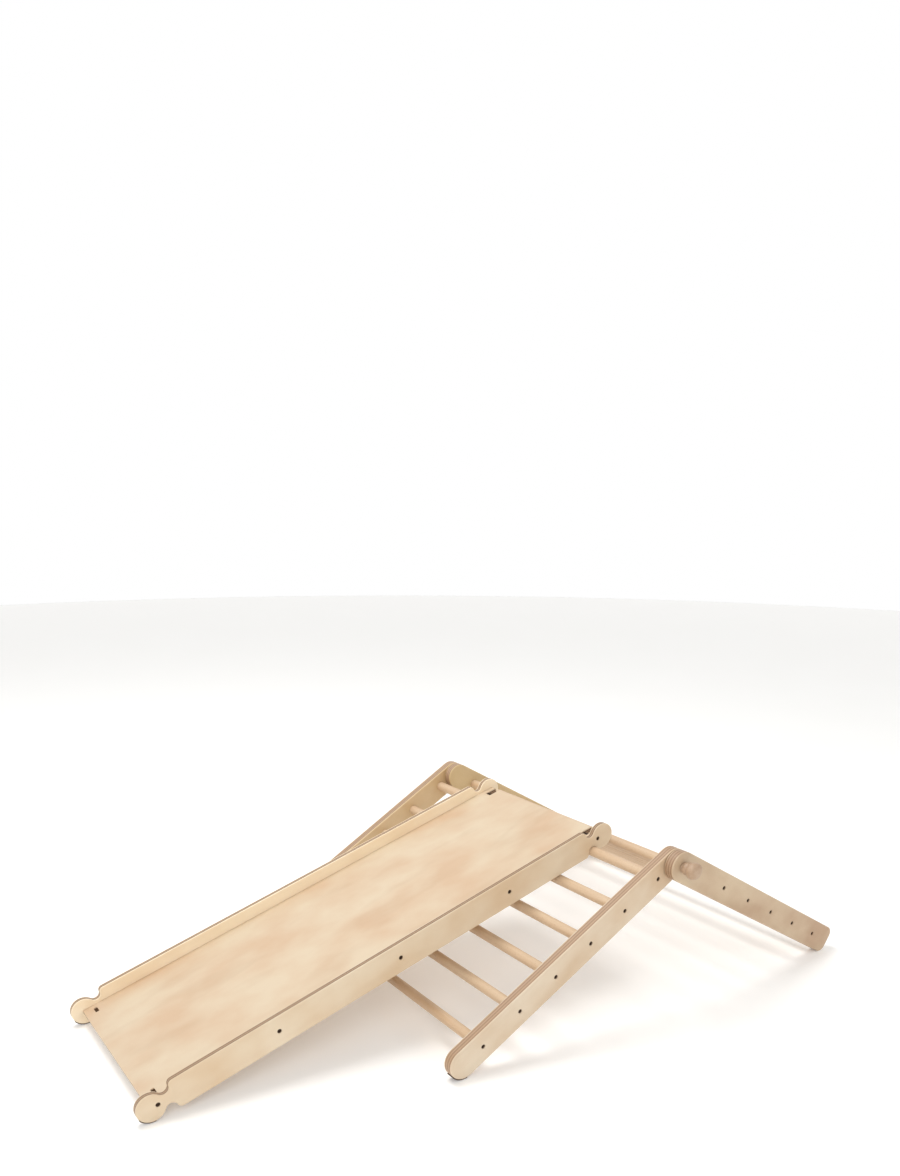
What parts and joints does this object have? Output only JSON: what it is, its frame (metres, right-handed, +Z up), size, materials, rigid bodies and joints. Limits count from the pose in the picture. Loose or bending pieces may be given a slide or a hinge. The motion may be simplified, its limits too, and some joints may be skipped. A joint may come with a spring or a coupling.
{
  "type": "toddler slide with folding climbing frame",
  "caption": "Low wooden slide board hooked over a rung of a folding two-ladder climbing frame, held at its angle by a turned clamp knob.",
  "frame": {"origin": "on the floor under the middle of the object's overall box, with the slide in place and the knob in", "axes": "+X from the slide's low end towards the rear ladder's feet, +Y along the rungs away from the clamp knob's side, +Z up"},
  "size_m": [1.481, 0.792, 0.3294],
  "materials": {
    "birch_rail": "clear matt lacquer on birch plywood",
    "birch_side": "clear matt lacquer on birch plywood",
    "birch_deck": "clear satin lacquer on birch plywood",
    "beech": "clear matt lacquer on turned beech",
    "dark_steel": "browned steel screw heads",
    "zinc_steel": "zinc-plated steel",
    "brown_rubber": "dark brown anti-slip rubber"
  },
  "bodies": {
    "front_ladder": {"front_rail_near": "birch_rail", "front_rail_far": "birch_rail", "front_rung_1": "beech", "front_rung_2": "beech", "front_rung_3": "beech", "front_rung_4": "beech", "front_rung_5": "beech", "front_rung_6": "beech", "front_rung_screws": "dark_steel", "front_foot_pads": "brown_rubber", "knob_insert": "zinc_steel", "near_washer": "zinc_steel", "far_washer": "zinc_steel"},
    "rear_ladder": {"rear_rail_near": "birch_rail", "rear_rail_far": "birch_rail", "rear_rung_1": "beech", "rear_rung_2": "beech", "rear_rung_3": "beech", "rear_rung_4": "beech", "rear_rung_5": "beech", "rear_rung_6": "beech", "rear_rung_screws": "dark_steel", "bolt_insert": "zinc_steel", "pivot_bolt": "zinc_steel"},
    "slide_board": {"slide_side_near": "birch_side", "slide_side_far": "birch_side", "slide_deck": "birch_deck", "slide_screws": "dark_steel", "slide_foot_pads": "brown_rubber"},
    "clamp_knob": {"clamp_knob": "beech", "knob_stud": "zinc_steel"}
  },
  "joints": [
    {"name": "fold_hinge", "type": "hinge", "parent": "front_ladder", "child": "rear_ladder", "pos_m": [0.23781, 0.0158, 0.2985], "axis": [0, 1, 0], "range_deg": [-59, 60]},
    {"name": "slide_tilt", "type": "hinge", "parent": "front_ladder", "child": "slide_board", "pos_m": [0.19874, 0.0158, 0.27617], "axis": [0, 1, 0], "range_deg": [0, 35]},
    {"name": "knob_turn", "type": "hinge", "parent": "front_ladder", "child": "clamp_knob", "pos_m": [0.23781, -0.3617, 0.2985], "axis": [0, -1, 0], "range_deg": [0, 360]}
  ]
}
